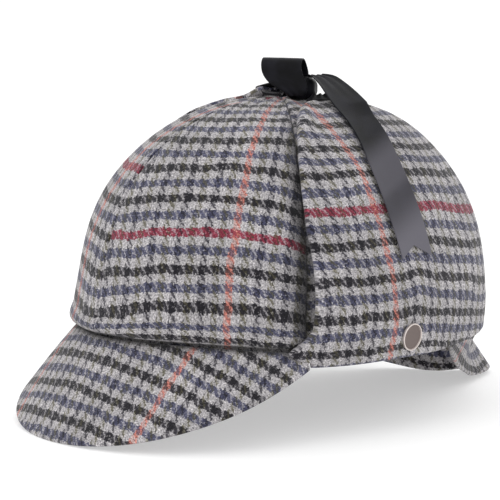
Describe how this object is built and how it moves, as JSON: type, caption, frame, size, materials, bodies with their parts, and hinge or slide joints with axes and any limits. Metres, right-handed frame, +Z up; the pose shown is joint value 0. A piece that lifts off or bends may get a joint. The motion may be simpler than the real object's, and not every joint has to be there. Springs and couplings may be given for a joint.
{
  "type": "deerstalker hat",
  "caption": "Tweed deerstalker hat with a peak front and back, its ear flaps tied up over a domed crown by a satin ribbon bow, and a small round metal badge.",
  "frame": {"origin": "on the surface that the hat rests on, under the middle of its outline", "axes": "+Z up through the crown, -Y towards the front peak, +X towards the wearer's left"},
  "size_m": [0.1818, 0.2815, 0.1743],
  "materials": {
    "tweed": "woollen tweed, grey, black, navy and olive check with a red windowpane",
    "black_satin": "satin ribbon, black",
    "badge_metal": "brushed face with a polished rim"
  },
  "bodies": {
    "root": {"crown_front_left": "tweed", "crown_front_right": "tweed", "crown_side_left": "tweed", "crown_side_right": "tweed", "crown_back_left": "tweed", "crown_back_right": "tweed", "front_peak": "tweed", "back_peak": "tweed", "left_ear_flap": "tweed", "right_ear_flap": "tweed", "left_ribbon_lead": "black_satin", "right_ribbon_lead": "black_satin", "left_ribbon_tail": "black_satin", "right_ribbon_tail": "black_satin", "upright_bow_loop": "black_satin", "lying_bow_loop": "black_satin", "bow_knot": "black_satin", "badge": "badge_metal"}
  },
  "joints": []
}
